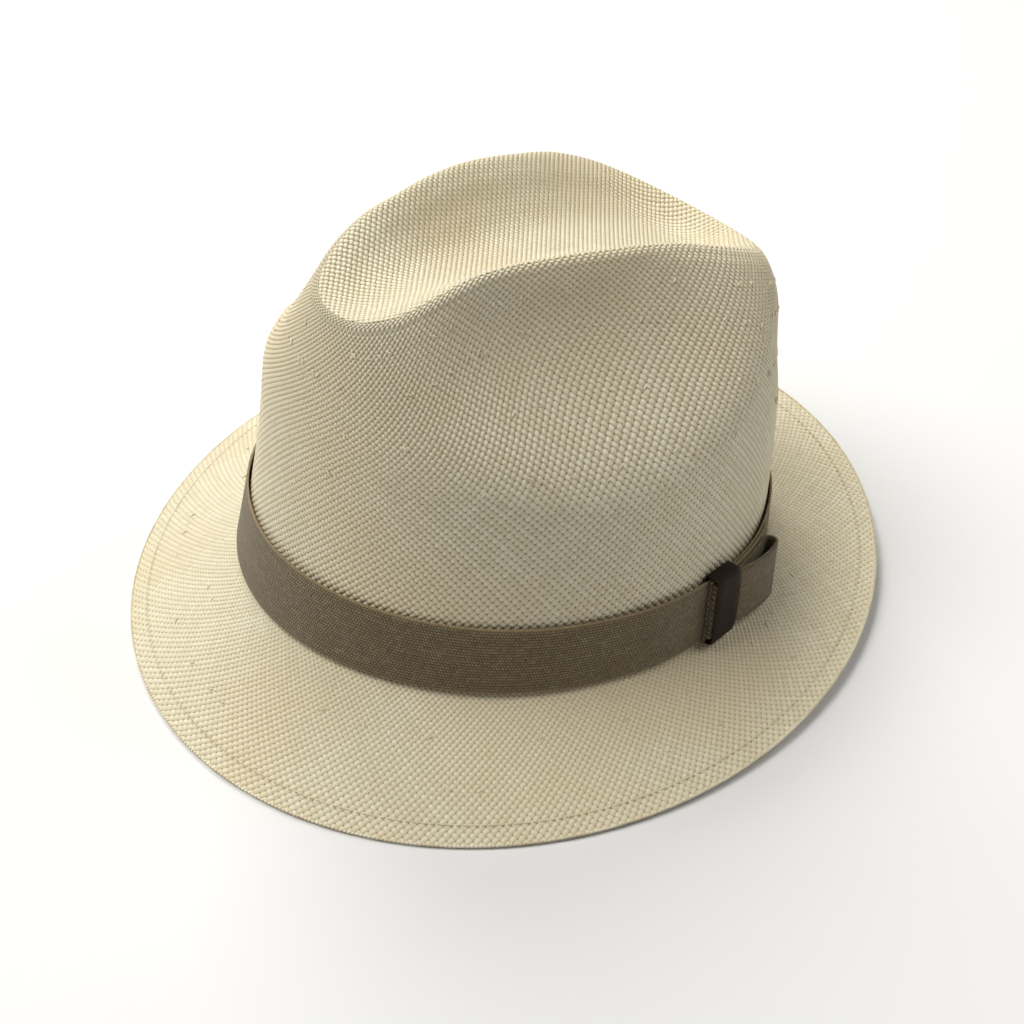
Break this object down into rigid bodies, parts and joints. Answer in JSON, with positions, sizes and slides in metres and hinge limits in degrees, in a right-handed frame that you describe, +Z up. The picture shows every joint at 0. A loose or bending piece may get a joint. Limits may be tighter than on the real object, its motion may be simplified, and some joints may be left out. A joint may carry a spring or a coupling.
{
  "type": "woven straw fedora hat",
  "caption": "Woven straw fedora with a teardrop crown dented at both sides, a snap brim, a canvas ribbon band, a folded side bow in a leather keeper, and a leather sweatband.",
  "frame": {"origin": "centre of the bounding box, on the table that the hat's brim stands on", "axes": "+Z up, -Y the way the hat faces, +X the wearer's left, where the bow is"},
  "size_m": [0.261, 0.2888, 0.1553],
  "materials": {
    "straw": "natural woven straw, warm pale cream, matt with a slight sheen",
    "ribbon": "taupe canvas ribbon with a fine twill weave, matt",
    "keeper_leather": "dark brown smooth leather, soft sheen",
    "sweatband_leather": "tan leather, matt",
    "thread": "cream sewing thread",
    "tag": "blank off-white woven tag"
  },
  "bodies": {
    "hat": {"straw_body": "straw", "brim_edge_thread": "thread", "hat_band": "ribbon", "band_overlap": "ribbon", "band_tack_front": "thread", "band_tack_left_front": "thread", "band_tack_rear": "thread", "band_tack_right": "thread", "bow_root": "ribbon", "sweatband": "sweatband_leather", "sweatband_reed": "sweatband_leather", "sweatband_thread": "thread", "sweatband_join_tape": "sweatband_leather", "sweatband_bow": "ribbon", "size_tag": "tag"},
    "loop": {"bow_loop": "ribbon"},
    "keeper": {"bow_keeper": "keeper_leather"}
  },
  "joints": [
    {"name": "loop_flex", "type": "hinge", "parent": "hat", "child": "loop", "pos_m": [0.08816, 0.0247, 0.02779], "axis": [-0.0986, 0.1178, 0.9881], "range_deg": [-22, 0], "stiffness_Nm_per_rad": 0.02},
    {"name": "keeper_slide", "type": "hinge", "parent": "hat", "child": "keeper", "pos_m": [-0.03624, 0.00214, 0.03104], "axis": [0, 0.1426, 0.9898], "range_deg": [-1.8, 0.3]}
  ]
}
